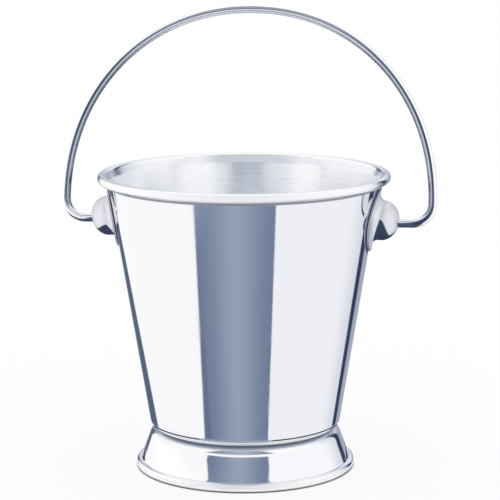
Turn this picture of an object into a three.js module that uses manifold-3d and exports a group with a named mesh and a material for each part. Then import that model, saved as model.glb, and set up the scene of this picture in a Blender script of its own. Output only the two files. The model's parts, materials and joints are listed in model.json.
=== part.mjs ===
// A small polished steel serving bucket with a swinging wire bail.
// Five pieces: a drawn body with a curled rim, a spun foot ring under it, two pressed ears
// welded to the wall, and one bent wire bail whose upset ends are trapped inside the ears.
// Millimetres, +Z up. The origin is on the ground at the middle of the foot, the bail turns
// about X, and the front of the bucket faces -Y.

import * as THREE from 'three';
import { mergeVertices } from 'three/addons/utils/BufferGeometryUtils.js';
import Module from 'manifold-3d';

const wasm = await Module();
wasm.setup();

// Body: one sheet drawn into a cup and curled outward at the top.
const bucketHeight = 123; // ground to the top of the rim
const rimOuterRadius = 60;
const rimBeadRadius = 1.85;
const rimOverhang = 3.9; // rim edge beyond the wall's outer face
const lipDrop = 2.2; // how far under the bead's centre the wall starts to turn out
const lipBendRadius = 2;
const baseRadius = 39.1; // wall's outer face, carried down to the underside of the floor
const bodyCornerRadius = 3.5;
const bodySheet = 0.6;

// Foot: one spun ring with an inward flange on top and a rolled bead below.
const footHeight = 17; // ground to the flange's upper face, which carries the body
const footOuterRadius = 45.45;
const footBeadRadius = 1.77;
const footFlatWidth = 1; // width of the flat that the bead stands on
const footFlangeHoleRadius = 26;
const shoulderStartRadius = 34.5; // where the flange starts to turn down
const shoulderRadius = 5.7;
const footCreaseRadius = 0.15; // sharp inner bend between the collar and its bead
const footBeadStartDeg = 98; // place on the bead, from the outside round to the top, of that bend
const footSheet = 0.6;

// Ears: round pressings like small hats, with their brims laid on the wall.
const hingeDrop = 20.1; // rim top down to the bail's axis
const earHeight = 10.4; // wall to the top of the dome
const earDomeRadius = 8.2;
const earFilletRadius = 2.4;
const earBrimRadius = 13.3;
const earSheet = 0.8;

// Bail: one round wire.
const wireRadius = 1.75;
const bailStandOff = 12.34; // top of an ear's dome to the wire's middle line at the sides
const bailRise = 87.1; // bail's axis to the wire's middle line at the top
const bailCornerRadius = 8.2;
const bailArchExponent = 2.08; // 2 is a plain ellipse, more is squarer
const bailHeadRadius = 2.9;
const bailHeadLength = 1.6;
const bailEndPlay = 1.5; // how far the bail can slide to each side
const bailLeanDeg = 11; // at rest the bail leans to the back

// Clearances.
const seatGap = 0.3; // between pieces that lie on each other on a curved face
const wireClearance = 0.3; // round the wire in the ear's hole
const curlGap = 0.4; // between a curl's raw edge and the sheet that it comes from

// Fineness of the facets.
const roundSteps = 60;
const curlSteps = 10;
const cornerSteps = 4;
const bendSteps = 2;
const earRoundSteps = 24;
const domeSteps = 6;
const filletSteps = 3;
const wireSides = 12;
const wireSteps = 96;

const { degToRad, radToDeg } = THREE.MathUtils;

// A vector of this length at this angle, counted from +X towards +Y of the plane.
function polar(length, deg) {
  return new THREE.Vector2(length * Math.cos(degToRad(deg)), length * Math.sin(degToRad(deg)));
}

function angleOf(v) {
  return radToDeg(Math.atan2(v.y, v.x));
}

// The outline of a bent sheet in the radius-height plane. The bends are arcs on the sheet's
// middle line, each with a centre, a radius and its angles, and straight runs join them.
// The path starts flat, going outwards from the point start.
function sheetOutline(start, bends, sheet) {
  const half = sheet / 2;
  const right = [new THREE.Vector2(start.x, start.y - half)];
  const left = [new THREE.Vector2(start.x, start.y + half)];
  for (const { centre, radius, from, to, steps } of bends) {
    const turn = Math.sign(to - from);
    for (let i = 0; i <= steps; i += 1) {
      const deg = from + ((to - from) * i) / steps;
      right.push(polar(radius + turn * half, deg).add(centre));
      left.push(polar(radius - turn * half, deg).add(centre));
    }
  }
  return [...right, ...left.reverse(), right[0].clone()];
}

// The sweep of a curl that stops when its edge is curlGap away from the sheet it comes from.
function curlSweep(beadRadius, sheet) {
  return 360 - radToDeg(Math.acos((beadRadius - sheet - curlGap) / beadRadius));
}

// Vertices joined, and the empty triangles on the axis left out.
function joined(geometry) {
  const bare = geometry.clone();
  bare.deleteAttribute('normal');
  bare.deleteAttribute('uv');
  const merged = mergeVertices(bare, 1e-4);
  const { array } = merged.index;
  const kept = [];
  for (let i = 0; i < array.length; i += 3) {
    const [a, b, c] = [array[i], array[i + 1], array[i + 2]];
    if (a !== b && b !== c && c !== a) kept.push(a, b, c);
  }
  merged.setIndex(kept);
  return merged;
}

// An outline in the radius-height plane, turned about Z.
function revolved(outline, steps) {
  return joined(new THREE.LatheGeometry(outline, steps).rotateX(Math.PI / 2));
}

function toManifold(geometry) {
  const { position } = geometry.attributes;
  return new wasm.Manifold(
    new wasm.Mesh({
      numProp: 3,
      vertProperties: Float32Array.from(position.array),
      triVerts: Uint32Array.from(geometry.index.array),
    }),
  );
}

function toGeometry(solid) {
  const { vertProperties, triVerts } = solid.getMesh();
  const geometry = new THREE.BufferGeometry();
  geometry.setAttribute('position', new THREE.BufferAttribute(vertProperties, 3));
  geometry.setIndex(new THREE.BufferAttribute(triVerts, 1));
  return geometry;
}

function piece(name, geometry, material) {
  geometry.computeVertexNormals();
  const mesh = new THREE.Mesh(geometry, material);
  mesh.name = name;
  return mesh;
}

// The straight wall, as a line from the floor's underside to the level of the rim bead.
const rimCentre = new THREE.Vector2(rimOuterRadius - rimBeadRadius, bucketHeight - rimBeadRadius);
const wallTop = new THREE.Vector2(rimOuterRadius - rimOverhang, rimCentre.y);
const wallTaper = (wallTop.x - baseRadius) / (wallTop.y - footHeight);
const wallLeanDeg = radToDeg(Math.atan(wallTaper));

function wallRadius(z) {
  return baseRadius + wallTaper * (z - footHeight);
}

// Floor, corner, wall, a slight turn outward under the rim, and the curl.
function bodyOutline() {
  const half = bodySheet / 2;
  const cornerZ = footHeight + bodyCornerRadius;
  const outward = polar(1, -wallLeanDeg);
  const cornerCentre = new THREE.Vector2(wallRadius(cornerZ) - bodyCornerRadius / outward.x, cornerZ);

  const lipZ = rimCentre.y - lipDrop;
  const lipStart = new THREE.Vector2(wallRadius(lipZ) - half / outward.x, lipZ);
  const lipCentre = lipStart.clone().addScaledVector(outward, lipBendRadius);
  const curlRadius = rimBeadRadius - half;
  const between = rimCentre.clone().sub(lipCentre);
  const curlStart = angleOf(between) + radToDeg(Math.acos((lipBendRadius - curlRadius) / between.length()));

  return sheetOutline(
    new THREE.Vector2(0, footHeight + half),
    [
      {
        centre: cornerCentre,
        radius: bodyCornerRadius - half,
        from: -90,
        to: -wallLeanDeg,
        steps: cornerSteps,
      },
      {
        centre: lipCentre,
        radius: lipBendRadius,
        from: 180 - wallLeanDeg,
        to: curlStart,
        steps: bendSteps,
      },
      {
        centre: rimCentre,
        radius: curlRadius,
        from: curlStart,
        to: curlStart - curlSweep(rimBeadRadius, bodySheet),
        steps: curlSteps,
      },
    ],
    bodySheet,
  );
}

// Flange, rounded shoulder, flared collar, sharp crease, and a bead that is rolled outward
// and under. The bead has a narrow flat where it stands.
function footOutline() {
  const half = footSheet / 2;
  const flatDeg = radToDeg(Math.asin(footFlatWidth / 2 / footBeadRadius));
  const beadCentre = new THREE.Vector2(
    footOuterRadius - footBeadRadius,
    footBeadRadius * Math.cos(degToRad(flatDeg)),
  );
  const shoulderCentre = new THREE.Vector2(shoulderStartRadius, footHeight - shoulderRadius);
  const shoulderMiddle = shoulderRadius - half;
  const creaseMiddle = footCreaseRadius + half;
  const beadMiddle = footBeadRadius - half;
  const creaseCentre = polar(beadMiddle + creaseMiddle, footBeadStartDeg).add(beadCentre);

  // The collar is the straight run that touches the shoulder's bend and the crease's bend.
  const between = creaseCentre.clone().sub(shoulderCentre);
  const collarDeg = angleOf(between)
    + radToDeg(Math.acos((shoulderMiddle + creaseMiddle) / between.length()));
  const beadEndDeg = footBeadStartDeg - curlSweep(footBeadRadius, footSheet);

  return sheetOutline(
    new THREE.Vector2(footFlangeHoleRadius, footHeight - half),
    [
      {
        centre: shoulderCentre,
        radius: shoulderMiddle,
        from: 90,
        to: collarDeg,
        steps: cornerSteps,
      },
      {
        centre: creaseCentre,
        radius: creaseMiddle,
        from: collarDeg - 180,
        to: footBeadStartDeg - 180,
        steps: bendSteps,
      },
      {
        centre: beadCentre,
        radius: beadMiddle,
        from: footBeadStartDeg,
        to: flatDeg - 90,
        steps: curlSteps / 2,
      },
      {
        centre: beadCentre,
        radius: beadMiddle,
        from: -90 - flatDeg,
        to: beadEndDeg,
        steps: curlSteps / 2,
      },
    ],
    footSheet,
  );
}

// Where the bail's axis leaves the top of the right ear's dome.
const hingeZ = bucketHeight - hingeDrop;
const earCentreZ = hingeZ + earHeight * Math.sin(degToRad(wallLeanDeg));
const domeTopX = wallRadius(earCentreZ) + earHeight * Math.cos(degToRad(wallLeanDeg));

// Where the wire's middle line stands at the sides.
const bailHalfSpan = domeTopX + bailStandOff;

// Half section of the ear, as distance from its own axis and height over the wall:
// dome, fillet, brim with a rounded edge, then back along the underside.
function earOutline() {
  const filletR = earDomeRadius + earFilletRadius;
  const filletZ = seatGap + earSheet + earFilletRadius;
  const face = (side) => {
    const points = [];
    for (let i = 0; i <= domeSteps; i += 1) {
      const a = degToRad((90 * (domeSteps - i)) / domeSteps);
      const across = (earDomeRadius - side) * Math.cos(a);
      points.push(new THREE.Vector2(across, filletZ + (earHeight - filletZ - side) * Math.sin(a)));
    }
    for (let i = 1; i <= filletSteps; i += 1) {
      const deg = 180 + (90 * i) / filletSteps;
      points.push(polar(earFilletRadius + side, deg).add(new THREE.Vector2(filletR, filletZ)));
    }
    return points;
  };
  const edge = earSheet / 4;
  const rim = [
    new THREE.Vector2(earBrimRadius - edge, seatGap),
    new THREE.Vector2(earBrimRadius, seatGap + edge),
    new THREE.Vector2(earBrimRadius, seatGap + earSheet - edge),
    new THREE.Vector2(earBrimRadius - edge, seatGap + earSheet),
  ];
  const outline = [...face(earSheet), ...rim, ...face(0).reverse()];
  outline.push(outline[0].clone());
  return outline;
}

// Bends a flat pressing round the wall: local X runs up the wall, local Z stands out from it,
// and local Y runs round it towards -Y, which keeps the faces pointing out.
function wrappedOnWall(geometry) {
  const lean = degToRad(wallLeanDeg);
  const { position } = geometry.attributes;
  for (let i = 0; i < position.count; i += 1) {
    const up = position.getX(i);
    const round = -position.getY(i);
    const out = position.getZ(i);
    const z = earCentreZ + up * Math.cos(lean);
    const radius = wallRadius(z);
    position.setXYZ(
      i,
      Math.sqrt(radius * radius - round * round) + out * Math.cos(lean),
      round,
      z - out * Math.sin(lean),
    );
  }
  return geometry;
}

// The right ear, with its hole along the bail's axis.
function earGeometry() {
  const ear = toManifold(wrappedOnWall(revolved(earOutline(), earRoundSteps)));
  const drill = new THREE.CylinderGeometry(
    wireRadius + wireClearance,
    wireRadius + wireClearance,
    earHeight,
    earRoundSteps,
  );
  drill.rotateZ(Math.PI / 2).translate(domeTopX, 0, hingeZ);
  return toGeometry(ear.subtract(toManifold(joined(drill))));
}

// The bail's middle line, upright in the XZ plane with its axis at z = 0: a straight end, a
// round corner and a squarish half ellipse, then the same mirrored.
class BailLine extends THREE.Curve {
  constructor(endX) {
    super();
    const stub = bailHalfSpan - bailCornerRadius - endX;
    const corner = (Math.PI / 2) * bailCornerRadius;
    const arch = (Math.PI / 4) * (bailHalfSpan + bailRise - bailCornerRadius);
    this.endX = endX;
    this.stub = stub;
    this.corner = corner;
    this.halfLength = stub + corner + arch;
    this.arch = arch;
  }

  // The place at a run along the right half, from its end to the top.
  halfPoint(run) {
    if (run <= this.stub) return [this.endX + run, 0];
    const cornerX = bailHalfSpan - bailCornerRadius;
    if (run <= this.stub + this.corner) {
      const a = (run - this.stub) / bailCornerRadius;
      return [cornerX + bailCornerRadius * Math.sin(a), bailCornerRadius * (1 - Math.cos(a))];
    }
    const a = ((run - this.stub - this.corner) / this.arch) * (Math.PI / 2);
    const power = 2 / bailArchExponent;
    const rise = bailRise - bailCornerRadius;
    return [
      bailHalfSpan * Math.max(Math.cos(a), 0) ** power,
      bailCornerRadius + rise * Math.sin(a) ** power,
    ];
  }

  getPoint(t, target = new THREE.Vector3()) {
    const run = 2 * Math.min(t, 1 - t) * this.halfLength;
    const [across, up] = this.halfPoint(run);
    return target.set(t < 0.5 ? -across : across, 0, up);
  }
}

// The wire and its two upset heads. The heads' outer faces stop under the ears' domes,
// short of them by the end play.
function bailGeometry() {
  const domeInside = earSheet + earHeadRoom() + bailEndPlay;
  const headOuterX = domeTopX - domeInside;
  const endX = headOuterX - bailHeadLength;
  const section = new THREE.Shape();
  section.absarc(0, 0, wireRadius, 0, 2 * Math.PI);
  const wire = new THREE.ExtrudeGeometry(section, {
    steps: wireSteps,
    curveSegments: wireSides / 2, // an arc gets two sides for each
    extrudePath: new BailLine(endX),
  });
  let bail = toManifold(joined(wire));
  for (const side of [-1, 1]) {
    const head = new THREE.CylinderGeometry(bailHeadRadius, bailHeadRadius, bailHeadLength, wireSides);
    head.rotateZ(Math.PI / 2).translate(side * (headOuterX - bailHeadLength / 2), 0, 0);
    bail = bail.add(toManifold(joined(head)));
  }
  return toGeometry(bail);
}

// How far inside the dome's top a head of this size first meets the dome's inner face,
// with the dome leaning by the wall's angle.
function earHeadRoom() {
  const depth = earHeight - seatGap - earSheet - earFilletRadius - earSheet;
  const across = bailHeadRadius / (earDomeRadius - earSheet);
  const curve = depth * (1 - Math.sqrt(1 - across * across));
  return curve + bailHeadRadius * wallTaper + seatGap;
}

// Colours and finishes.
function steel(color, roughness) {
  return new THREE.MeshStandardMaterial({ color, roughness, metalness: 1 });
}
const polishedSheet = steel(0xdfe3ea, 0.12);
const polishedFoot = steel(0xdadfe7, 0.12);
const polishedEar = steel(0xd8dce4, 0.14);
const drawnWire = steel(0xcdd3dc, 0.2);

const bucket = new THREE.Group();
bucket.add(piece('bucket_body', revolved(bodyOutline(), roundSteps), polishedSheet));
bucket.add(piece('foot_ring', revolved(footOutline(), roundSteps), polishedFoot));

const rightEar = piece('ear_right', earGeometry(), polishedEar);
const leftEar = piece('ear_left', earGeometry(), polishedEar);
leftEar.rotation.z = Math.PI;
bucket.add(rightEar, leftEar);

// At rest the bail has slid to the right, as far as its end play lets it.
const bail = piece('bail_handle', bailGeometry(), drawnWire);
bail.position.set(bailEndPlay - seatGap, 0, hingeZ);
bail.rotation.x = -degToRad(bailLeanDeg);
bucket.add(bail);

export default bucket;
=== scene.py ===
import json
import math

import bpy
from mathutils import Matrix, Vector


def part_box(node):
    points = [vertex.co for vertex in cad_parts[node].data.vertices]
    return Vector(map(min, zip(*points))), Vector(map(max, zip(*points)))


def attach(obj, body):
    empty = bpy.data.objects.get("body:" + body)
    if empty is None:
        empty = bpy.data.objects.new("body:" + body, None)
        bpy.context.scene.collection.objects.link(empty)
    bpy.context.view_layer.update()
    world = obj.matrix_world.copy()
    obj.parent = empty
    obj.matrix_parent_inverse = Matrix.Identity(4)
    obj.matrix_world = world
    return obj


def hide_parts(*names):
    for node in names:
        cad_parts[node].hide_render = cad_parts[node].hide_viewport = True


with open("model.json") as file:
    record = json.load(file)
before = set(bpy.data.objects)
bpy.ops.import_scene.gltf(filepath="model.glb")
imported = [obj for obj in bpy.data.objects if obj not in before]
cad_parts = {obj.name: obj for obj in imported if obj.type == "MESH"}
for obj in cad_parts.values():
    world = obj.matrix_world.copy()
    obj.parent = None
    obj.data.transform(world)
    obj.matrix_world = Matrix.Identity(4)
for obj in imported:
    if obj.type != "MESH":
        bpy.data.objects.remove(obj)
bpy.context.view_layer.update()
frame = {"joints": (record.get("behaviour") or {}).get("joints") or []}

# The looks of a small polished steel bucket: its body, foot ring, two ears and wire bail as
# smooth sheet and wire, their polished and satin finishes, and a plain white studio. Lengths
# are in metres.
MM = 0.001

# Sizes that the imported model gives.
BODY_LOW, BODY_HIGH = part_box("bucket_body")
FOOT_LOW, FOOT_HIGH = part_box("foot_ring")
BUCKET_HEIGHT = BODY_HIGH.z
RIM_OUTER_RADIUS = BODY_HIGH.x
FOOT_HEIGHT = BODY_LOW.z
HINGE_Z = frame["joints"][0]["pos_m"][2]

# Body.
RIM_BEAD_RADIUS = 1.85 * MM
RIM_OVERHANG = 3.9 * MM
LIP_DROP = 2.2 * MM
LIP_BEND_RADIUS = 2 * MM
BASE_RADIUS = 39.1 * MM
BODY_CORNER_RADIUS = 3.5 * MM
BODY_SHEET = 0.6 * MM
CURL_GAP = 0.4 * MM

# Foot.
FOOT_OUTER_RADIUS = 45.45 * MM
FOOT_BEAD_RADIUS = 1.77 * MM
FOOT_FLAT_WIDTH = 1 * MM
FOOT_FLANGE_HOLE_RADIUS = 26 * MM
SHOULDER_START_RADIUS = 34.5 * MM
SHOULDER_RADIUS = 5.7 * MM
FOOT_CREASE_RADIUS = 0.15 * MM
FOOT_BEAD_START_DEG = 98
FOOT_SHEET = 0.6 * MM

# Ears.
SEAT_GAP = 0.3 * MM
EAR_HEIGHT = 10.4 * MM
EAR_DOME_RADIUS = 8.2 * MM
EAR_FILLET_RADIUS = 2.4 * MM
EAR_BRIM_RADIUS = 13.3 * MM
EAR_SHEET = 0.8 * MM
EAR_HOLE_RADIUS = 2.05 * MM
EAR_HOLE_EDGE_RADIUS = 0.25 * MM

# Bail.
WIRE_RADIUS = 1.75 * MM
BAIL_STAND_OFF = 12.34 * MM
BAIL_RISE = 87.1 * MM
BAIL_CORNER_RADIUS = 8.2 * MM
BAIL_ARCH_EXPONENT = 2.08
BAIL_HEAD_RADIUS = 2.9 * MM
BAIL_HEAD_LENGTH = 1.6 * MM
BAIL_HEAD_EDGE_RADIUS = 0.4 * MM
BAIL_HEAD_STEP = 0.02 * MM
BAIL_END_PLAY = 1.5 * MM
BAIL_LEAN_DEG = 11

# Places that follow from these.
RIM_CENTRE = Vector((RIM_OUTER_RADIUS - RIM_BEAD_RADIUS, BUCKET_HEIGHT - RIM_BEAD_RADIUS))
WALL_TAPER = (RIM_OUTER_RADIUS - RIM_OVERHANG - BASE_RADIUS) / (RIM_CENTRE.y - FOOT_HEIGHT)
WALL_LEAN_DEG = math.degrees(math.atan(WALL_TAPER))
LEAN = math.radians(WALL_LEAN_DEG)
EAR_CENTRE_Z = HINGE_Z + EAR_HEIGHT * math.sin(LEAN)

# How finely the pieces are made.
STEPS_ROUND = 288
EAR_STEPS_ROUND = 120
ARC_STEP_DEG = 5
SUPPORT_DISTANCE = 0.2 * MM
RUN_STEP = 6 * MM
WIRE_SIDES = 40
WIRE_STEP = 0.9 * MM
MERGE_DISTANCE = 0.001 * MM

# Camera, in the picture's own terms. The whole studio is turned with it about the bucket.
PICTURE_SIZE = 500
STUDIO_TURN = math.radians(8)
CAMERA_PLACE = Vector((1.1, -861.7, 248.9)) * MM
CAMERA_YAW = 0.0014
CAMERA_PITCH = 0.1818
CAMERA_ROLL = -0.0045
CAMERA_FOCAL_PIXELS = 2125
CAMERA_SENSOR_MM = 36


# Node trees


class Value:
    """A socket of a node tree. Arithmetic on it adds Math nodes to its tree."""

    def __init__(self, tree, socket):
        self.tree = tree
        self.socket = socket

    def __add__(self, other):
        return self.tree.maths("ADD", self, other)

    def __radd__(self, other):
        return self.tree.maths("ADD", other, self)

    def __sub__(self, other):
        return self.tree.maths("SUBTRACT", self, other)

    def __rsub__(self, other):
        return self.tree.maths("SUBTRACT", other, self)

    def __mul__(self, other):
        return self.tree.maths("MULTIPLY", self, other)

    def __rmul__(self, other):
        return self.tree.maths("MULTIPLY", other, self)

    def __truediv__(self, other):
        return self.tree.maths("DIVIDE", self, other)

    def __rtruediv__(self, other):
        return self.tree.maths("DIVIDE", other, self)

    def __neg__(self):
        return self.tree.maths("MULTIPLY", self, -1)


class Tree:
    """Adds nodes to a shader, world or geometry node tree."""

    def __init__(self, node_tree):
        self.nodes = node_tree.nodes
        self.links = node_tree.links

    def node(self, kind, settings=None, values=None):
        """A node of this type, with its settings, then the values or links of its sockets."""
        made = self.nodes.new(kind)
        for name, setting in (settings or {}).items():
            setattr(made, name, setting)
        for name, value in (values or {}).items():
            self.feed(made.inputs[name], value)
        return made

    def feed(self, socket, value):
        if isinstance(value, Value):
            self.links.new(value.socket, socket)
        else:
            socket.default_value = value

    def out(self, made, name=0):
        return Value(self, made.outputs[name])

    def maths(self, operation, first, second=0):
        values = {0: first, 1: second}
        return self.out(self.node("ShaderNodeMath", {"operation": operation}, values))

    def least(self, first, second):
        return self.maths("MINIMUM", first, second)

    def most(self, first, second):
        return self.maths("MAXIMUM", first, second)

    def size(self, value):
        return self.maths("ABSOLUTE", value)

    def length(self, x, y):
        return self.maths("SQRT", x * x + y * y)

    def degrees(self, radians):
        return radians * (180 / math.pi)

    def step(self, value, place, soft):
        """0 below a place and 1 above it, with a soft edge of this half width."""
        values = {"Value": value, "From Min": place - soft, "From Max": place + soft}
        settings = {"interpolation_type": "SMOOTHSTEP"}
        return self.out(self.node("ShaderNodeMapRange", settings, values))

    def band(self, value, low, high, soft):
        """1 between two places and 0 outside them, with soft edges."""
        return self.step(value, low, soft) * (1 - self.step(value, high, soft))

    def ramp(self, value, low, high, from_low=0, from_high=1):
        """From low to high, in a straight line, as the value goes over its own range."""
        span = {"From Min": from_low, "From Max": from_high, "To Min": low, "To Max": high}
        return self.out(self.node("ShaderNodeMapRange", None, {"Value": value, **span}))

    def mix(self, factor, first, second):
        """A colour between two colours."""
        made = self.node("ShaderNodeMix", {"data_type": "RGBA"})
        for name, value in (("Factor_Float", factor), ("A_Color", first), ("B_Color", second)):
            socket = next(s for s in made.inputs if s.identifier == name)
            self.feed(socket, (*value, 1) if isinstance(value, tuple) else value)
        return Value(self, next(s for s in made.outputs if s.identifier == "Result_Color"))

    def noise(self, vector, scale, detail=2, roughness=0.5):
        values = {"Vector": vector, "Scale": scale, "Detail": detail, "Roughness": roughness}
        return self.out(self.node("ShaderNodeTexNoise", None, values), "Fac")

    def joined(self, x, y, z):
        return self.out(self.node("ShaderNodeCombineXYZ", None, {"X": x, "Y": y, "Z": z}))

    def parts(self, vector):
        made = self.node("ShaderNodeSeparateXYZ", None, {"Vector": vector})
        return [self.out(made, name) for name in ("X", "Y", "Z")]


# Outlines of bent sheet, as points with a distance from the axis and a height


def polar(length, deg):
    return Vector((length * math.cos(math.radians(deg)), length * math.sin(math.radians(deg))))


def angle_of(v):
    return math.degrees(math.atan2(v.y, v.x))


def bend(centre, radius, start, end):
    """A bend on the sheet's middle line, as its centre, its radius and its angles."""
    return centre, radius, start, end


def sheet_outline(start, bends, sheet):
    """The outline of a bent sheet: the arcs of its middle line, thickened both ways."""
    half = sheet / 2
    right = [Vector((start.x, start.y - half))]
    left = [Vector((start.x, start.y + half))]
    for centre, radius, first, last in bends:
        turn = math.copysign(1, last - first)
        steps = max(3, math.ceil(abs(last - first) / ARC_STEP_DEG))
        for i in range(steps + 1):
            deg = first + (last - first) * i / steps
            right.append(centre + polar(radius + turn * half, deg))
            left.append(centre + polar(radius - turn * half, deg))
    return right + left[::-1]


def with_support(points, closed):
    """Points are added on the long straight runs, close to their ends and along them,
    so that the shading of a flat run isn't bent by its neighbours."""
    made = []
    count = len(points)
    for i, here in enumerate(points):
        made.append(here)
        if i == count - 1 and not closed:
            break
        there = points[(i + 1) % count]
        run = (there - here).length
        if run < 4 * SUPPORT_DISTANCE:
            continue
        along = (there - here) / run
        parts = math.ceil(run / RUN_STEP)
        near_ends = [SUPPORT_DISTANCE, run - SUPPORT_DISTANCE]
        places = near_ends + [run * k / parts for k in range(1, parts)]
        made += [here + along * place for place in sorted(places)]
    return made


def curl_sweep(bead_radius, sheet):
    """The sweep of a curl that stops when its edge is CURL_GAP away from its own sheet."""
    return 360 - math.degrees(math.acos((bead_radius - sheet - CURL_GAP) / bead_radius))


def wall_radius(z):
    """Distance from the axis to the wall's outer face at this height."""
    return BASE_RADIUS + WALL_TAPER * (z - FOOT_HEIGHT)


def body_outline():
    """Floor, corner, wall, a slight turn outward under the rim, and the curl."""
    half = BODY_SHEET / 2
    corner_z = FOOT_HEIGHT + BODY_CORNER_RADIUS
    outward = polar(1, -WALL_LEAN_DEG)
    corner = Vector((wall_radius(corner_z) - BODY_CORNER_RADIUS / outward.x, corner_z))
    lip_z = RIM_CENTRE.y - LIP_DROP
    lip_start = Vector((wall_radius(lip_z) - half / outward.x, lip_z))
    lip = lip_start + outward * LIP_BEND_RADIUS
    curl_radius = RIM_BEAD_RADIUS - half
    between = RIM_CENTRE - lip
    reach = math.degrees(math.acos((LIP_BEND_RADIUS - curl_radius) / between.length))
    curl_start = angle_of(between) + reach
    curl_end = curl_start - curl_sweep(RIM_BEAD_RADIUS, BODY_SHEET)
    bends = [
        bend(corner, BODY_CORNER_RADIUS - half, -90, -WALL_LEAN_DEG),
        bend(lip, LIP_BEND_RADIUS, 180 - WALL_LEAN_DEG, curl_start),
        bend(RIM_CENTRE, curl_radius, curl_start, curl_end),
    ]
    return sheet_outline(Vector((0, FOOT_HEIGHT + half)), bends, BODY_SHEET)


def foot_outline():
    """Flange, shoulder, flared collar, crease, and a bead rolled outward and under."""
    half = FOOT_SHEET / 2
    flat_deg = math.degrees(math.asin(FOOT_FLAT_WIDTH / 2 / FOOT_BEAD_RADIUS))
    bead_z = FOOT_BEAD_RADIUS * math.cos(math.radians(flat_deg))
    bead = Vector((FOOT_OUTER_RADIUS - FOOT_BEAD_RADIUS, bead_z))
    shoulder = Vector((SHOULDER_START_RADIUS, FOOT_HEIGHT - SHOULDER_RADIUS))
    shoulder_middle = SHOULDER_RADIUS - half
    crease_middle = FOOT_CREASE_RADIUS + half
    bead_middle = FOOT_BEAD_RADIUS - half
    crease = bead + polar(bead_middle + crease_middle, FOOT_BEAD_START_DEG)
    between = crease - shoulder
    reach = math.degrees(math.acos((shoulder_middle + crease_middle) / between.length))
    collar_deg = angle_of(between) + reach
    bead_end = FOOT_BEAD_START_DEG - curl_sweep(FOOT_BEAD_RADIUS, FOOT_SHEET)
    bends = [
        bend(shoulder, shoulder_middle, 90, collar_deg),
        bend(crease, crease_middle, collar_deg - 180, FOOT_BEAD_START_DEG - 180),
        bend(bead, bead_middle, FOOT_BEAD_START_DEG, flat_deg - 90),
        bend(bead, bead_middle, -90 - flat_deg, bead_end),
    ]
    return sheet_outline(Vector((FOOT_FLANGE_HOLE_RADIUS, FOOT_HEIGHT - half)), bends, FOOT_SHEET)


def arc(centre, across, up, start, end):
    """Points on part of an ellipse."""
    steps = max(3, math.ceil(abs(end - start) / ARC_STEP_DEG))
    degs = [start + (end - start) * i / steps for i in range(steps + 1)]
    return [centre + Vector((across * polar(1, d).x, up * polar(1, d).y)) for d in degs]


def ear_outline():
    """Half section of an ear, as distance from its own axis and height over the wall: the
    hole's edge, the dome's inside, fillet and brim, and back along the outside."""
    fillet = Vector((EAR_DOME_RADIUS + EAR_FILLET_RADIUS, SEAT_GAP + EAR_SHEET + EAR_FILLET_RADIUS))
    edge = EAR_SHEET / 2
    brim = Vector((EAR_BRIM_RADIUS - edge, SEAT_GAP + edge))
    hole_across = EAR_HOLE_RADIUS + EAR_HOLE_EDGE_RADIUS

    def face(depth):
        """Dome and fillet, this deep under the outside."""
        across = EAR_DOME_RADIUS - depth
        up = EAR_HEIGHT - fillet.y - depth
        top_deg = math.degrees(math.acos(hole_across / across))
        dome = arc(Vector((0, fillet.y)), across, up, top_deg, 0)
        bent = EAR_FILLET_RADIUS + depth
        return dome + arc(fillet, bent, bent, 180, 270)[1:]

    inside = face(EAR_SHEET)
    outside = face(0)[::-1]
    hole_middle = (inside[0] + outside[-1]) / 2
    hole_depth = (outside[-1] - inside[0]).length / 2
    hole = arc(hole_middle, -EAR_HOLE_EDGE_RADIUS, hole_depth, 90, -90)[1:-1]
    return inside + arc(brim, edge, edge, -90, 90) + outside + hole


# Geometry node trees


def new_tree(name, inputs):
    """A geometry node tree with these named inputs, and its kit of nodes."""
    group = bpy.data.node_groups.new(name, "GeometryNodeTree")
    group.interface.new_socket("Geometry", in_out="INPUT", socket_type="NodeSocketGeometry")
    for label, kind in inputs:
        group.interface.new_socket(label, in_out="INPUT", socket_type="NodeSocket" + kind)
    group.interface.new_socket("Geometry", in_out="OUTPUT", socket_type="NodeSocketGeometry")
    tree = Tree(group)
    return group, tree, tree.node("NodeGroupInput")


def end_tree(tree, geometry, material):
    """Smooth shading, real meshes and the finish, on the way to the tree's end."""
    smooth = tree.node("GeometryNodeSetShadeSmooth", None, {"Geometry": geometry})
    real = tree.node("GeometryNodeRealizeInstances", None, {"Geometry": tree.out(smooth)})
    values = {"Geometry": tree.out(real), "Material": material}
    painted = tree.node("GeometryNodeSetMaterial", None, values)
    tree.node("NodeGroupOutput", None, {"Geometry": tree.out(painted)})


def moved_to(tree, geometry, place):
    values = {"Geometry": geometry, "Position": place}
    return tree.out(tree.node("GeometryNodeSetPosition", None, values))


def noted(tree, geometry, name, kind, value):
    """The geometry with a value of its points kept under this name, for its finish."""
    settings = {"data_type": kind, "domain": "POINT"}
    values = {"Geometry": geometry, "Name": name, "Value": value}
    return tree.out(tree.node("GeometryNodeStoreNamedAttribute", settings, values))


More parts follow.
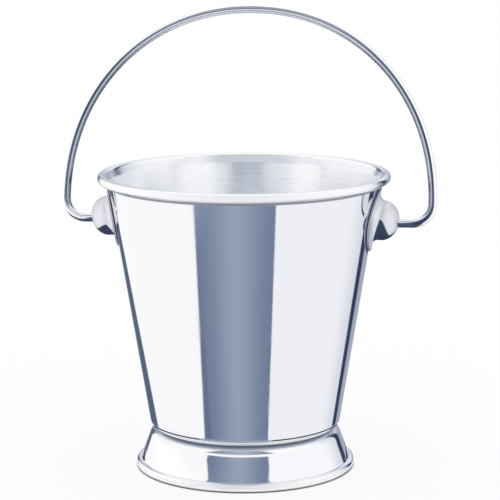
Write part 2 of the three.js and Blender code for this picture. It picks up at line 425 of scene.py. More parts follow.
def turned_tree():
    """Turns an outline in the XZ plane about Z. The outline's points become the rows of a
    grid, whose columns go round; the seam and the points on the axis are merged."""
    inputs = [("Steps round", "Int"), ("Rows", "Int"), ("Finish", "Material")]
    group, tree, given = new_tree("turned on a lathe", inputs)
    steps, rows = tree.out(given, "Steps round"), tree.out(given, "Rows")
    outline = tree.out(given, "Geometry")
    counts = {"Vertices X": steps + 1, "Vertices Y": rows}
    grid = tree.node("GeometryNodeMeshGrid", None, {"Size X": 1.0, "Size Y": 1.0, **counts})
    counted = tree.node("GeometryNodeAttributeDomainSize", None, {"Geometry": outline})
    index = tree.out(tree.node("GeometryNodeInputIndex"))
    column = tree.maths("FLOOR", (index + 0.5) / rows)
    row = tree.maths("FLOOR", index - column * rows + 0.5)
    row_on_outline = tree.maths("FLOORED_MODULO", row, tree.out(counted, "Point Count"))
    point = tree.maths("FLOOR", row_on_outline + 0.5)
    outline_place = tree.out(tree.node("GeometryNodeInputPosition"))
    values = {"Geometry": outline, "Value": outline_place, "Index": point}
    sampled = tree.node("GeometryNodeSampleIndex", {"data_type": "FLOAT_VECTOR"}, values)
    radius, _, height = tree.parts(tree.out(sampled))
    turn = column / steps * (2 * math.pi)
    x, y = radius * tree.maths("COSINE", turn), radius * tree.maths("SINE", turn)
    moved = moved_to(tree, tree.out(grid, "Mesh"), tree.joined(x, y, height))
    values = {"Geometry": moved, "Distance": MERGE_DISTANCE}
    merged = tree.node("GeometryNodeMergeByDistance", None, values)
    end_tree(tree, tree.out(merged), tree.out(given, "Finish"))
    return group


def laid_tree():
    """Bends a flat turned pressing round the wall: its X runs up the wall, its Y round it
    and its Z stands out from it."""
    sizes = ["Wall radius", "Wall taper", "Height", "Side"]
    inputs = [(name, "Float") for name in sizes] + [("Finish", "Material")]
    group, tree, given = new_tree("laid on the wall", inputs)
    up, around, out = tree.parts(tree.out(tree.node("GeometryNodeInputPosition")))
    across = around * -1
    rise = up * math.cos(LEAN)
    radius = tree.out(given, "Wall radius") + tree.out(given, "Wall taper") * rise
    reach = tree.maths("SQRT", radius * radius - across * across) + out * math.cos(LEAN)
    side = tree.out(given, "Side")
    height = tree.out(given, "Height") + rise - out * math.sin(LEAN)
    place = tree.joined(reach * side, across * side, height)
    moved = moved_to(tree, tree.out(given, "Geometry"), place)
    end_tree(tree, moved, tree.out(given, "Finish"))
    return group


def wire_tree():
    """Sweeps a round wire along the object's own line, thicker where the line's swelling is
    over 1. The finish finds how far along the wire and where round it a point lies."""
    inputs = [("Wire radius", "Float"), ("Sides", "Int"), ("Finish", "Material")]
    group, tree, given = new_tree("drawn wire", inputs)
    line = tree.node("GeometryNodeMeshToCurve", None, {"Mesh": tree.out(given, "Geometry")})
    run = tree.out(tree.node("GeometryNodeSplineParameter"), "Length")
    line = noted(tree, tree.out(line), "along_wire", "FLOAT", run)
    values = {"Resolution": tree.out(given, "Sides"), "Radius": tree.out(given, "Wire radius")}
    section = tree.node("GeometryNodeCurvePrimitiveCircle", None, values)
    turn = tree.out(tree.node("GeometryNodeSplineParameter"), "Factor") * (2 * math.pi)
    place_round = tree.joined(tree.maths("COSINE", turn), tree.maths("SINE", turn), 0)
    section = noted(tree, tree.out(section), "round_wire", "FLOAT_VECTOR", place_round)
    settings, values = {"data_type": "FLOAT"}, {"Name": "swelling"}
    swelling = tree.node("GeometryNodeInputNamedAttribute", settings, values)
    values = {
        "Curve": line,
        "Profile Curve": section,
        "Scale": tree.out(swelling),
        "Fill Caps": True,
    }
    swept = tree.node("GeometryNodeCurveToMesh", None, values)
    end_tree(tree, tree.out(swept), tree.out(given, "Finish"))
    return group


def line_object(name, points, closed):
    """An object whose mesh is one line through these points."""
    count = len(points)
    edges = [(i, (i + 1) % count) for i in range(count if closed else count - 1)]
    mesh = bpy.data.meshes.new(name)
    mesh.from_pydata(points, edges, [])
    made = bpy.data.objects.new(name, mesh)
    bpy.context.scene.collection.objects.link(made)
    return made


def run_tree(made, group, values):
    """Gives an object this tree, with values for its named inputs."""
    modifier = made.modifiers.new(group.name, "NODES")
    modifier.node_group = group
    for item in group.interface.items_tree:
        if item.name in values:
            modifier[item.identifier] = values[item.name]


def finished(made, name):
    """The plain mesh that an object's trees make, in place of the object."""
    graph = bpy.context.evaluated_depsgraph_get()
    mesh = bpy.data.meshes.new_from_object(made.evaluated_get(graph))
    bpy.data.objects.remove(made)
    for slot in reversed(range(len(mesh.materials))):
        if mesh.materials[slot] is None:
            mesh.materials.pop(index=slot)
    mesh.name = name
    piece = bpy.data.objects.new(name, mesh)
    bpy.context.scene.collection.objects.link(piece)
    return piece


def turned_object(name, outline, closed, steps, finish):
    """A piece turned from its outline."""
    points = with_support(outline, closed)
    made = line_object(name, [(p.x, 0, p.y) for p in points], closed)
    rows = len(points) + (1 if closed else 0)
    run_tree(made, TURNED, {"Steps round": steps, "Rows": rows, "Finish": finish})
    return made


# The bail's line


def head_points(end_x):
    """The upset head on the right end of the wire, with its rounded edges. A point is its X,
    its height over the bail's axis, and a swelling: its thickness over the wire's own."""
    head = BAIL_HEAD_RADIUS / WIRE_RADIUS
    edge = BAIL_HEAD_EDGE_RADIUS
    rounding = arc(Vector((0, 0)), edge, edge, 90, 0)
    far_x = end_x + BAIL_HEAD_LENGTH - edge
    near = [(end_x + edge - p.y, 0, head - (edge - p.x) / WIRE_RADIUS) for p in rounding]
    far = [(far_x + p.x, 0, head - (edge - p.y) / WIRE_RADIUS) for p in rounding]
    return near + far


def head_room():
    """How far the head stays under the top of the dome's inside: the dome curves down over
    the head's width, and leans with the wall."""
    depth = EAR_HEIGHT - SEAT_GAP - 2 * EAR_SHEET - EAR_FILLET_RADIUS
    share = BAIL_HEAD_RADIUS / (EAR_DOME_RADIUS - EAR_SHEET)
    curve = depth * (1 - math.sqrt(1 - share * share))
    return curve + BAIL_HEAD_RADIUS * WALL_TAPER + SEAT_GAP


def bail_line():
    """The wire's middle line at rest, leaning back, and the swelling of each of its points.
    Each side has a head, a straight end, a round corner and a squarish quarter ellipse."""
    dome_top_x = wall_radius(EAR_CENTRE_Z) + EAR_HEIGHT * math.cos(LEAN)
    half_span = dome_top_x + BAIL_STAND_OFF
    head_outer_x = dome_top_x - EAR_SHEET - head_room() - BAIL_END_PLAY
    corner_x = half_span - BAIL_CORNER_RADIUS

    right = head_points(head_outer_x - BAIL_HEAD_LENGTH)
    right.append((head_outer_x + BAIL_HEAD_STEP, 0, 1))
    straight = corner_x - head_outer_x
    steps = math.ceil(straight / WIRE_STEP)
    right += [(head_outer_x + straight * i / steps, 0, 1) for i in range(1, steps + 1)]
    corner = Vector((corner_x, BAIL_CORNER_RADIUS))
    bent = arc(corner, BAIL_CORNER_RADIUS, BAIL_CORNER_RADIUS, -90, 0)
    right += [(point.x, point.y, 1) for point in bent[1:]]
    power = 2 / BAIL_ARCH_EXPONENT
    rise = BAIL_RISE - BAIL_CORNER_RADIUS
    steps = math.ceil(math.pi / 4 * (half_span + rise) / WIRE_STEP)
    for i in range(1, steps + 1):
        turn = math.pi / 2 * i / steps
        x = half_span * max(math.cos(turn), 0) ** power
        right.append((x, BAIL_CORNER_RADIUS + rise * math.sin(turn) ** power, 1))
    whole = right + [(-x, z, swelling) for x, z, swelling in right[-2::-1]]

    slide = BAIL_END_PLAY - SEAT_GAP
    lean = Matrix.Rotation(-math.radians(BAIL_LEAN_DEG), 3, "X")
    points = [lean @ Vector((x, 0, z)) + Vector((slide, 0, HINGE_Z)) for x, z, _ in whole]
    return points, [swelling for _, _, swelling in whole]


# Finishes. Steel has a darker and a lighter tone, which blend over its surface.

BODY_STEEL = (0.865, 0.875, 0.895), (0.88, 0.888, 0.905)
LINING_STEEL = (0.945, 0.96, 0.99), (0.99, 0.995, 1)
LIP_STEEL = (0.84, 0.855, 0.89)
FOOT_STEEL = (0.86, 0.87, 0.89), (0.88, 0.888, 0.905)
EAR_STEEL = (0.8, 0.812, 0.85), (0.845, 0.855, 0.885)
WIRE_STEEL = (0.84, 0.85, 0.87), (0.88, 0.89, 0.905)
# The near-white colour below is a painted sheen on worn places; the three dark colours after it are
# painted shade, and the fourth is a painted dark reflection on the wire.
PAINTED_SHEEN_STEEL = (0.99, 0.993, 1.0)
PAINTED_DARK_SHADE = (0.03, 0.05, 0.15)
PAINTED_NECK_SHADE = (0.33, 0.41, 0.56)
PAINTED_EAR_RING_SHADE = (0.11, 0.17, 0.38)
PAINTED_WIRE_REFLECTION = (0.065, 0.1, 0.2)
POLISHED_ROUGHNESS = 0.05
PAINTED_SHADE_ROUGHNESS = 0.6
PAINTED_SHADE_GLOSS = 0.1


def new_material(name):
    material = bpy.data.materials.new(name)
    material.use_nodes = True
    material.node_tree.nodes.clear()
    tree = Tree(material.node_tree)
    place = tree.out(tree.node("ShaderNodeTexCoord"), "Object")
    return material, tree, place


def steel(tree, colour, roughness, bump, painted_shade=0, painted_shade_colour=PAINTED_DARK_SHADE, anisotropic=0, turn=0):
    """Ends a steel finish: a metal surface with this colour, roughness and relief, and how
    much painted shade covers it, as a dull dark layer."""
    # The dull dark layer mixed in here is painted shade.
    values = {
        "Base Color": tree.mix(painted_shade, colour, painted_shade_colour),
        "Metallic": 1 - painted_shade,
        "Roughness": roughness + (PAINTED_SHADE_ROUGHNESS - roughness) * painted_shade,
        "Specular IOR Level": PAINTED_SHADE_GLOSS,
        "Anisotropic": anisotropic,
        "Anisotropic Rotation": turn,
        "Normal": bump,
    }
    surface = tree.node("ShaderNodeBsdfPrincipled", None, values)
    tree.node("ShaderNodeOutputMaterial", None, {"Surface": tree.out(surface)})


def relief(tree, layers):
    """Bumps one over the other, each as a height field and its depth in metres."""
    normal = None
    for height, depth in layers:
        values = {"Height": height, "Distance": depth, "Strength": 1.0}
        if normal is not None:
            values["Normal"] = normal
        normal = tree.out(tree.node("ShaderNodeBump", None, values))
    return normal


def lines_round(tree, x, y, across, along_scale, across_scale, detail=2, roughness=0.5):
    """Noise drawn out into fine lines round the bucket, with its scales along the lines and
    across them."""
    vector = tree.joined(x * along_scale, y * along_scale, across * across_scale)
    return tree.noise(vector, 1, detail, roughness)


RIM_POLISHED_FROM = RIM_CENTRE.x - RIM_BEAD_RADIUS * 0.8
RIM_WEAR_AND_SHEEN_HEIGHTS = RIM_CENTRE.y - 1.2 * MM, RIM_CENTRE.y + 1.6 * MM
RIM_WEAR_AND_SHEEN_PAST_EARS = 22 * MM
RIM_SHADE_HEIGHTS = RIM_CENTRE.y - 3.3 * MM, RIM_CENTRE.y - 1.9 * MM
EAR_SHADE_RADII = EAR_BRIM_RADIUS - 1 * MM, EAR_BRIM_RADIUS + 1.2 * MM
BODY_NECK_SHADE_TOP = FOOT_HEIGHT + 0.2 * MM


def mirror_sheet():
    """Polished outside of the body: buffing lines round it, smudges, and a slight wave. The
    rim is worn rough except near the ears, with a painted white sheen there, and painted
    shade lies in the crease under it, round the ears and at the foot."""
    material, tree, place = new_material("mirror_polished_sheet")
    x, y, z = tree.parts(place)
    lines = lines_round(tree, x, y, z, 14, 1500)
    wave = tree.noise(place, 45, 1)
    smudge = tree.step(tree.noise(place, 60, 3), 0.58, 0.12)

    rim = tree.step(tree.length(x, y), RIM_POLISHED_FROM, 0.3 * MM)
    # Worn belly of the rim: wear gives it its roughness, and its near-white colour is a painted
    # sheen.
    from_ears = tree.step(tree.size(y), RIM_WEAR_AND_SHEEN_PAST_EARS, 8 * MM)
    worn_and_sheen = rim * tree.band(z, *RIM_WEAR_AND_SHEEN_HEIGHTS, 0.3 * MM) * from_ears
    roughness = POLISHED_ROUGHNESS + smudge * 0.03 + lines * 0.02 + rim * 0.06 + worn_and_sheen * 0.55
    clean = tree.mix(worn_and_sheen, tree.mix(tree.noise(place, 18, 2), *BODY_STEEL), PAINTED_SHEEN_STEEL)

    # Painted shade: dark lines in the crease under the rim, on the wall round the ears and at the
    # foot, put on as the dull dark layer.
    under_rim = tree.band(z, *RIM_SHADE_HEIGHTS, 0.12 * MM)
    from_ear = tree.length(y, (z - EAR_CENTRE_Z) / math.cos(LEAN))
    round_ear = tree.band(from_ear, *EAR_SHADE_RADII, 0.3 * MM)
    at_foot = 1 - tree.step(z, BODY_NECK_SHADE_TOP, 0.2 * MM)
    painted_shade = tree.most(tree.most(under_rim * 0.55, at_foot * 0.8), round_ear * 0.9)
    painted_shade_colour = tree.mix(round_ear, PAINTED_DARK_SHADE, PAINTED_EAR_RING_SHADE)
    painted_shade_colour = tree.mix(at_foot, painted_shade_colour, PAINTED_NECK_SHADE)
    bump = relief(tree, [(wave, 0.02 * MM), (lines, 0.0008 * MM)])
    steel(tree, clean, roughness, bump, painted_shade, painted_shade_colour)
    return material


def satin_sheet():
    """Spun satin inside of the body, with brush lines round it. The lip is a shade darker."""
    material, tree, place = new_material("satin_spun_sheet")
    x, y, z = tree.parts(place)
    lines = lines_round(tree, x, y, tree.length(x, y) + z, 10, 1100, 4, 0.7)
    roughness = tree.ramp(lines, 0.23, 0.31)
    lip = tree.step(z, RIM_CENTRE.y - LIP_DROP + 0.2 * MM, 0.8 * MM)
    colour = tree.mix(lip, tree.mix(tree.step(lines, 0.5, 0.2), *LINING_STEEL), LIP_STEEL)
    bump = relief(tree, [(lines, 0.006 * MM)])
    steel(tree, colour, roughness, bump, anisotropic=0.8, turn=0.25)
    return material


FOOT_WEAR_AND_SHEEN_TOP = 3.3 * MM
FOOT_WEAR_AND_SHEEN_PAST_SIDES = 14 * MM
FOOT_CREASE_HEIGHTS = 2.95 * MM, 3.5 * MM
FOOT_CREASE_OUTER_RADIUS = 43.6 * MM
FOOT_COLLAR_HEIGHTS = 4 * MM, 13 * MM
FOOT_COLLAR_BULGE = 0.3 * MM
FOOT_NECK_SHADE_FROM = FOOT_HIGH.z - 1.1 * MM


def mirror_foot():
    """Polished foot, with turning lines and a barely bulged collar. Its bead is worn rough, with
    a painted white sheen, except at the sides, and painted shade lies at the neck and over the
    bead."""
    material, tree, place = new_material("turned_polished_foot")
    x, y, z = tree.parts(place)
    radius = tree.length(x, y)
    lines = lines_round(tree, x, y, z - radius, 12, 1600)
    wave = tree.noise(place, 60, 1)

    # Worn belly of the bead: wear gives it its roughness, and its near-white colour is a painted
    # sheen.
    from_sides = tree.step(tree.size(y), FOOT_WEAR_AND_SHEEN_PAST_SIDES, 8 * MM)
    worn_and_sheen = (1 - tree.step(z, FOOT_WEAR_AND_SHEEN_TOP, 0.2 * MM)) * from_sides
    roughness = POLISHED_ROUGHNESS + lines * 0.04 + worn_and_sheen * 0.5
    clean = tree.mix(worn_and_sheen, tree.mix(tree.noise(place, 25, 2), *FOOT_STEEL), PAINTED_SHEEN_STEEL)

    # Painted shade at the neck and in the crease over the bead, put on as the dull dark layer.
    at_neck = tree.step(z, FOOT_NECK_SHADE_FROM, 0.9 * MM)
    in_crease = tree.band(z, *FOOT_CREASE_HEIGHTS, 0.15 * MM)
    in_crease = in_crease * (1 - tree.step(radius, FOOT_CREASE_OUTER_RADIUS, 0.2 * MM))
    painted_shade = tree.most(at_neck * 0.7, in_crease * 0.4)
    up_collar = tree.ramp(z, 0, 1, *FOOT_COLLAR_HEIGHTS)
    bulge = up_collar * (1 - up_collar)
    layers = [(bulge, FOOT_COLLAR_BULGE), (wave, 0.01 * MM), (lines, 0.001 * MM)]
    steel(tree, clean, roughness, relief(tree, layers), painted_shade, PAINTED_NECK_SHADE)
    return material


def hollow_under_dome(tree, x, y, up, out):
    """The wedge of painted shade under an ear's dome, from places up the wall and out from it.
    It starts at a point on the dome's side, a little over the ear's middle on the right ear
    and a little under it on the left, and widens downward."""
    left = 1 - tree.step(x, 0, 1 * MM)

    def each(right_ear, left_ear):
        return tree.ramp(left, right_ear, left_ear)

    start_deg, point_out = each(-12, 18), each(3.3 * MM, 3.9 * MM)
    inner_fall, outer_spread = each(0.024 * MM, 0.08 * MM), each(0.56 * MM, 0.85 * MM)
    flare_deg, flare, least_out = each(60, 48), 0.3 * MM, 1.6 * MM
    below = tree.degrees(tree.maths("ARCTAN2", -up, tree.size(y))) - start_deg
    inner = tree.most(point_out - below * inner_fall, least_out)
    outer = point_out + tree.maths("SQRT", tree.most(below, 0)) * outer_spread
    outer = outer + tree.most(below - flare_deg, 0) * flare
    across = tree.step(out - inner, 0, 0.2 * MM) * tree.step(outer - out, 0, 0.25 * MM)
    return tree.step(below, 0, 2) * across


def pressed_ear():
    """Satin pressing, with the fine orange peel of drawn steel. Its edge, and the hollow
    under its dome, carry painted shade as a dull dark layer."""
    material, tree, place = new_material("pressed_ear_steel")
    x, y, z = tree.parts(place)
    peel = tree.noise(place, 700, 2)
    smudge = tree.noise(place, 120, 2)
    roughness = 0.5 + smudge * 0.06
    clean = tree.mix(smudge, *EAR_STEEL)
    out = (tree.length(x, y) - BASE_RADIUS - (z - FOOT_HEIGHT) * WALL_TAPER) * math.cos(LEAN)
    up = (z - EAR_CENTRE_Z) / math.cos(LEAN) + out * WALL_TAPER
    brim_top = tree.step(out, SEAT_GAP + EAR_SHEET * 0.55, 0.1 * MM)
    edge = tree.step(tree.length(y, up), EAR_BRIM_RADIUS - 0.3 * MM, 0.15 * MM) * brim_top
    # Painted shade on the brim's edge and in the wedge under the dome.
    painted_shade = tree.most(edge * 0.6, hollow_under_dome(tree, x, y, up, out) * 0.95)
    steel(tree, clean, roughness, relief(tree, [(peel, 0.004 * MM)]), painted_shade)
    return material


BEND_TOP = HINGE_Z + 5 * MM
HANDLED_AND_SHEEN_FROM = 0.32
PAINTED_REFLECTION_BAND = -0.4, 0.2


def painted_wire_reflection(tree, to_outside, side, right, over_bend, lines):
    """Painted dark reflection along the wire's middle and, more lightly, on its inner side.
    It grows down the sides, and on the right it goes on round the bend."""
    down_side = tree.step(side, 45 * MM, 18 * MM)
    round_bend = tree.most(right * tree.step(side, 69 * MM, 2 * MM), over_bend)
    middle = tree.band(to_outside, *PAINTED_REFLECTION_BAND, 0.14) * tree.ramp(down_side, 0.6, 0.92)
    inner = 1 - tree.step(to_outside, 0, 0.2)
    inner = inner * (0.5 + tree.step(-to_outside, 0.75, 0.15) * 0.25) * down_side * over_bend
    return tree.most(middle * round_bend, inner * tree.ramp(lines, 0.7, 1.3))


def painted_end_shade(tree, to_outside, side, right, z):
    """Painted shade under the wire's straight ends. Towards the bends it thins out on the
    left, and on the right it moves over to the inner side."""
    right_inner = tree.ramp(side, -0.25, -0.55, 65 * MM, 72.5 * MM)
    right_outer = tree.ramp(side, 1.3, 0.3, 68 * MM, 74 * MM)
    under_right = tree.band(to_outside, right_inner, right_outer, 0.1)
    left_inner = tree.ramp(side, -0.2, 0.4, 64 * MM, 69.5 * MM)
    under_left = tree.step(to_outside, left_inner, 0.1)
    under_left = under_left * (1 - tree.step(z, HINGE_Z + 2 * MM, 1.5 * MM))
    return tree.step(side, 58 * MM, 3 * MM) * (right * under_right + (1 - right) * under_left)


def drawn_wire():
    """Polished wire with faint draw lines along it, worn rougher on its outer side with a
    painted white sheen there, a painted dark reflection along its middle and painted shade
    under its ends. A place round the wire goes from -1 on its inner side, over 0 at the
    front and back, to 1 on its outer side."""
    material, tree, place = new_material("drawn_wire_steel")
    round_wire = tree.node("ShaderNodeAttribute", {"attribute_name": "round_wire"})
    along_wire = tree.node("ShaderNodeAttribute", {"attribute_name": "along_wire"})
    to_front, to_outside, _ = tree.parts(tree.out(round_wire, "Vector"))
    along = tree.out(along_wire, "Fac")
    lines = tree.noise(tree.joined(to_front * 9, to_outside * 9, along * 18), 1, 3)
    x, _, z = tree.parts(place)
    side = tree.size(x)
    right = tree.step(x, 0, 1 * MM)
    over_bend = tree.step(z, BEND_TOP, 4 * MM)

    # The outer side is worn rougher, and its near-white colour is a painted sheen.
    handled_and_sheen = tree.step(to_outside, HANDLED_AND_SHEEN_FROM, 0.16)
    roughness = POLISHED_ROUGHNESS + lines * 0.04 + handled_and_sheen * 0.35
    clean = tree.mix(handled_and_sheen, tree.mix(tree.noise(place, 90, 2), *WIRE_STEEL), PAINTED_SHEEN_STEEL)
    # Painted dark reflection, mixed into the steel's own colour.
    painted_reflection = painted_wire_reflection(tree, to_outside, side, right, over_bend, lines)
    clean = tree.mix(painted_reflection, clean, PAINTED_WIRE_REFLECTION)
    # Painted shade under the straight ends, put on as the dull dark layer.
    end_shade = painted_end_shade(tree, to_outside, side, right, z) * (1 - over_bend)
    steel(tree, clean, roughness, relief(tree, [(lines, 0.002 * MM)]), end_shade * 0.9)
    return material


# The studio

STEEL_REFLECTANCE = (0.872, 0.881, 0.9)


def linear(*srgb):
    """A colour given as three 0 to 255 values of the screen, in the scene's linear light."""
    shares = [value / 255 for value in srgb]
    return tuple(s / 12.92 if s <= 0.04045 else ((s + 0.055) / 1.055) ** 2.4 for s in shares)


def card(*srgb):
    """Light that a steel mirror shows as this tone."""
    return tuple(value / share for value, share in zip(linear(*srgb), STEEL_REFLECTANCE))


WHITE = (1, 1, 1)
BLACK = (0, 0, 0)
CEILING = card(255, 255, 255)
LEFT_PANEL = card(248, 248, 251)
RIGHT_PANEL_LOW = card(238, 239, 244)
RIGHT_PANEL_HIGH = card(246, 247, 250)
FAR_RIGHT_PANEL = card(212, 216, 226)
GAP_MIDDLE = card(148, 159, 179)
GAP_SIDES = card(112, 126, 154)
GAP_EDGES = card(96, 110, 136)
LEFT_BACK_CARD = card(84, 97, 121)
RIGHT_BACK_CARD = card(50, 60, 88)
BACK_LOW = card(158, 165, 181)
BACK_HIGH = card(222, 226, 235)
STRAIGHT_DOWN = card(60, 70, 100)
FLOOR_GAP = card(148, 159, 180)
FLOOR_RING = card(56, 66, 96)

# The gap between the two front panels, for each part of the bucket that mirrors it.
GAP_CENTRE_BEARING = -8.5
WALL_GAP_CLIMBS = -40, -25.5
WALL_GAP_BEARINGS = -45.2, 27.8
WALL_TOP_CLIMB = -26.5
WALL_LEAN_SPAN = 6
COLLAR_GAP_CLIMBS = 15, 27.5
COLLAR_GAP_BEARINGS = -44.7, 26.6
COLLAR_CLIMB = 19.7
COLLAR_LEAN_SPAN = 2.5
LINING_GAP_BEARINGS = -17, 11
SHOULDER_GAP_CLIMBS = 45, 78
SHOULDER_GAP_BEARINGS = -60, 42


def bearing_of(tree, x, y):
    """The bearing of a place or direction, in degrees to the right of the studio's front. A
    climb, which goes with it, is in degrees over the level."""
    front = x * math.sin(STUDIO_TURN) - y * math.cos(STUDIO_TURN)
    right = x * math.cos(STUDIO_TURN) + y * math.sin(STUDIO_TURN)
    return tree.degrees(tree.maths("ARCTAN2", right, front))


def front_gap(tree, bearing, climb):
    """How much of the gap between the front panels lies in this direction. Its edges lean a
    little where the wall and the foot's collar show them."""
    fall = WALL_TOP_CLIMB - climb
    near_fall = tree.least(fall, WALL_LEAN_SPAN)
    left = WALL_GAP_BEARINGS[0] - near_fall * (0.82 + near_fall * 0.12)
    right = WALL_GAP_BEARINGS[1] + fall * 0.2
    for_wall = tree.band(climb, *WALL_GAP_CLIMBS, 0.8) * tree.band(bearing, left, right, 0.5)

    rise = tree.least(tree.most(climb - COLLAR_CLIMB, -COLLAR_LEAN_SPAN), COLLAR_LEAN_SPAN)
    left = COLLAR_GAP_BEARINGS[0] - rise * 1.05
    right = COLLAR_GAP_BEARINGS[1] + rise * 0.58
    for_collar = tree.band(climb, *COLLAR_GAP_CLIMBS, 0.8) * tree.band(bearing, left, right, 0.5)

    for_lining = tree.step(climb, 0, 1.5) * (1 - tree.step(climb, 25, 6))
    for_lining = for_lining * tree.band(bearing, *LINING_GAP_BEARINGS, 1.5)
    for_shoulder = tree.band(climb, *SHOULDER_GAP_CLIMBS, 3)
    for_shoulder = for_shoulder * tree.band(bearing, *SHOULDER_GAP_BEARINGS, 3)
    return tree.most(tree.most(for_wall, for_collar), tree.most(for_lining, for_shoulder * 0.85))


def front_and_ceiling(tree, bearing, climb):
    """The white panels in front and at the sides, the ceiling, and the grey gap, which is
    darker towards its edges."""
    right_panel = tree.mix(tree.step(climb, -14, 8), RIGHT_PANEL_LOW, RIGHT_PANEL_HIGH)
    walls = tree.mix(tree.step(bearing, 15, 25), LEFT_PANEL, right_panel)
    walls = tree.mix(tree.step(bearing, 120, 16), walls, FAR_RIGHT_PANEL)
    bright_left = tree.band(climb, 1, 15, 3) * (1 - tree.step(bearing, -32, 6))
    walls = tree.mix(bright_left, walls, CEILING)
    colour = tree.mix(tree.step(climb, 45, 15), walls, CEILING)
    from_centre = tree.size(bearing - GAP_CENTRE_BEARING)
    gap = tree.mix(tree.step(from_centre, 17, 19), GAP_MIDDLE, GAP_SIDES)
    gap = tree.mix(tree.step(from_centre, 36, 3), gap, GAP_EDGES)
    return tree.mix(front_gap(tree, bearing, climb), colour, gap)


def with_back(tree, bearing, climb, colour):
    """Adds the grey back of the studio and a dark card on each side of it. The left one's
    front edge leans."""
    under_ceiling = 1 - tree.step(climb, 38, 6)
    back = tree.mix(tree.step(climb, 10, 8), BACK_LOW, BACK_HIGH)
    left_edge = -150 + tree.least(tree.most(-14.2 - climb, 0), 8) * 1.8
    left_tone = tree.mix(tree.step(bearing, -165, 2), back, LEFT_BACK_CARD)
    on_left = (1 - tree.step(bearing, left_edge, 0.6)) * under_ceiling
    right_tone = tree.mix(tree.step(bearing, 147.5, 2), RIGHT_BACK_CARD, back)
    on_right = tree.step(bearing, 135.8, 0.6) * under_ceiling
    return tree.mix(on_right, tree.mix(on_left, colour, left_tone), right_tone)


def studio_light():
    """A white studio. Mirrors see its panels and the dark gaps between them; the camera
    sees plain white; everything else is lit evenly."""
    world = bpy.data.worlds.new("white_studio")
    bpy.context.scene.world = world
    world.use_nodes = True
    world.node_tree.nodes.clear()
    tree = Tree(world.node_tree)
    x, y, z = tree.parts(tree.out(tree.node("ShaderNodeTexCoord"), "Generated"))
    bearing = bearing_of(tree, x, y)
    climb = tree.degrees(tree.maths("ARCSINE", z))
    colour = front_and_ceiling(tree, bearing, climb)
    colour = with_back(tree, bearing, climb, colour)
    down_climb = -84 + tree.step(tree.size(bearing), 103, 5) * 20
    colour = tree.mix(tree.maths("LESS_THAN", climb, down_climb), colour, STRAIGHT_DOWN)
    mirrored = tree.out(tree.node("ShaderNodeLightPath"), "Is Glossy Ray")
    values = {"Color": tree.mix(mirrored, WHITE, colour), "Strength": 1.0}
    background = tree.node("ShaderNodeBackground", None, values)
    tree.node("ShaderNodeOutputWorld", None, {"Surface": tree.out(background)})


FLOOR_RADIUS = 40
FLOOR_SHADOW = 0.3
FLOOR_MIRRORED_RADIUS = 69 * MM
FLOOR_PLAIN_RADIUS = 50.5 * MM
FLOOR_RING_RADII = 53.5 * MM, 67 * MM
FLOOR_GAP_BEARINGS = -40, 22
CONTACT_RADIUS = FOOT_OUTER_RADIUS - 0.1 * MM
CONTACT_GLOW = 0.05


def floor_glow(tree, x, y, mirrored):
    """The floor's own light: white, but in mirrors a dark ring lies round the foot, with a
    grey gap in front."""
    distance = tree.length(x, y)
    in_gap = tree.band(bearing_of(tree, x, y), *FLOOR_GAP_BEARINGS, 2)
    past_foot = tree.step(distance, FLOOR_PLAIN_RADIUS, 0.5 * MM)
    in_ring = tree.band(distance, *FLOOR_RING_RADII, 0.7 * MM) * (1 - in_gap)
    dark = mirrored * tree.most(past_foot * in_gap, in_ring)
    return tree.mix(dark, WHITE, tree.mix(in_gap, FLOOR_RING, FLOOR_GAP))


def white_floor():
    """A floor that glows white for the camera and in mirrors, much less under the foot, and
    keeps a light shadow. It is see-through from below, and mirrors see only the part of it
    next to the foot."""
    material, tree, place = new_material("white_floor")
    x, y, _ = tree.parts(place)
    distance = tree.length(x, y)
    path = tree.node("ShaderNodeLightPath")
    mirrored = tree.out(path, "Is Glossy Ray")
    seen = tree.most(tree.out(path, "Is Camera Ray"), mirrored)
    # Partly painted contact shadow: the glow drops to CONTACT_GLOW at the foot's edge, so the real
    # shadow shows there for the camera, and in mirrors the dark line is painted.
    lit_share = tree.ramp(tree.step(distance, CONTACT_RADIUS, 0.6 * MM), CONTACT_GLOW, 1)
    lit_share = lit_share * (1 - FLOOR_SHADOW * (1 - mirrored))
    values = {"Color": floor_glow(tree, x, y, mirrored), "Strength": seen * lit_share}
    glow = tree.node("ShaderNodeEmission", None, values)
    shade_colour = tree.mix(mirrored, (FLOOR_SHADOW,) * 3, BLACK)
    shade = tree.node("ShaderNodeBsdfDiffuse", None, {"Color": shade_colour})
    solid = tree.node("ShaderNodeAddShader", None, {0: tree.out(shade), 1: tree.out(glow)})
    clear = tree.node("ShaderNodeBsdfTransparent")
    from_below = tree.out(tree.node("ShaderNodeNewGeometry"), "Backfacing")
    far = tree.step(distance, FLOOR_MIRRORED_RADIUS, 2 * MM)
    values = {0: tree.most(from_below, mirrored * far), 1: tree.out(solid), 2: tree.out(clear)}
    surface = tree.node("ShaderNodeMixShader", None, values)
    tree.node("ShaderNodeOutputMaterial", None, {"Surface": tree.out(surface)})
    return material


def studio_floor():
    bpy.ops.mesh.primitive_circle_add(vertices=128, radius=FLOOR_RADIUS, fill_type="NGON")
    floor = bpy.context.object
    floor.name = "studio_floor"
    floor.data.materials.append(white_floor())


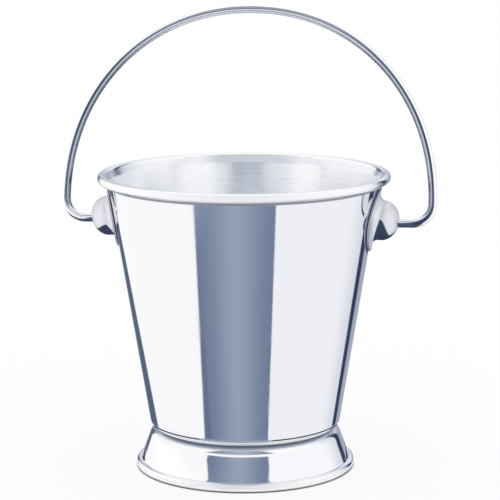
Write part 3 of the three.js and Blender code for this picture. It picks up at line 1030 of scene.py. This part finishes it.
def studio_camera():
    """A long lens that looks slightly down on the bucket from the studio's front."""
    turn = Matrix.Rotation(STUDIO_TURN, 3, "Z")
    sin_yaw, cos_yaw = math.sin(CAMERA_YAW), math.cos(CAMERA_YAW)
    sin_pitch, cos_pitch = math.sin(CAMERA_PITCH), math.cos(CAMERA_PITCH)
    ahead = turn @ Vector((sin_yaw * cos_pitch, cos_yaw * cos_pitch, -sin_pitch))
    level = turn @ Vector((cos_yaw, -sin_yaw, 0))
    above = level.cross(ahead)
    sin_roll, cos_roll = math.sin(CAMERA_ROLL), math.cos(CAMERA_ROLL)
    picture_right = level * cos_roll + above * sin_roll
    picture_up = above * cos_roll - level * sin_roll
    data = bpy.data.cameras.new("picture_camera")
    data.sensor_width = CAMERA_SENSOR_MM
    data.lens = CAMERA_FOCAL_PIXELS / PICTURE_SIZE * CAMERA_SENSOR_MM
    data.clip_end = 2 * FLOOR_RADIUS
    camera = bpy.data.objects.new("picture_camera", data)
    bpy.context.scene.collection.objects.link(camera)
    axes = Matrix((picture_right, picture_up, -ahead)).transposed()
    camera.matrix_world = Matrix.Translation(turn @ CAMERA_PLACE) @ axes.to_4x4()
    bpy.context.scene.camera = camera


# The pieces

TURNED = turned_tree()
LAID = laid_tree()
WIRE = wire_tree()

LINING_TOP = RIM_CENTRE.y + 0.2 * MM
LINING_OUTER_RADIUS = RIM_CENTRE.x - 0.6 * RIM_BEAD_RADIUS


def is_lining(face):
    """Whether a face of the body is on its inside: the floor, or the wall and the lip up to
    the rim."""
    radius = math.hypot(face.center.x, face.center.y)
    inward = face.normal.x * face.center.x + face.normal.y * face.center.y < 0
    on_floor = face.normal.z > 0 and radius < BASE_RADIUS
    on_wall = inward and radius < LINING_OUTER_RADIUS
    return face.center.z < LINING_TOP and (on_floor or on_wall)


def make_body():
    outside, inside = mirror_sheet(), satin_sheet()
    made = turned_object("bucket_body_sheet", body_outline(), False, STEPS_ROUND, outside)
    body = finished(made, "bucket_body_sheet")
    body.data.materials.append(inside)
    for face in body.data.polygons:
        if is_lining(face):
            face.material_index = 1
    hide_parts("bucket_body")
    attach(body, "bucket")


def make_foot():
    made = turned_object("foot_ring_sheet", foot_outline(), True, STEPS_ROUND, mirror_foot())
    foot = finished(made, "foot_ring_sheet")
    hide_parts("foot_ring")
    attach(foot, "bucket")


def make_ears():
    finish = pressed_ear()
    for name, side in (("ear_right", 1.0), ("ear_left", -1.0)):
        made = turned_object(name + "_pressing", ear_outline(), True, EAR_STEPS_ROUND, finish)
        values = {
            "Wall radius": wall_radius(EAR_CENTRE_Z),
            "Wall taper": WALL_TAPER,
            "Height": EAR_CENTRE_Z,
            "Side": side,
            "Finish": finish,
        }
        run_tree(made, LAID, values)
        ear = finished(made, name + "_pressing")
        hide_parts(name)
        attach(ear, "bucket")


def make_bail():
    points, swellings = bail_line()
    made = line_object("bail_wire", points, False)
    swelling = made.data.attributes.new("swelling", "FLOAT", "POINT")
    swelling.data.foreach_set("value", swellings)
    values = {"Wire radius": WIRE_RADIUS, "Sides": WIRE_SIDES, "Finish": drawn_wire()}
    run_tree(made, WIRE, values)
    bail = finished(made, "bail_wire")
    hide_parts("bail_handle")
    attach(bail, "bail")


make_body()
make_foot()
make_ears()
make_bail()
studio_floor()
studio_light()
studio_camera()

bpy.context.scene.view_settings.view_transform = "Standard"
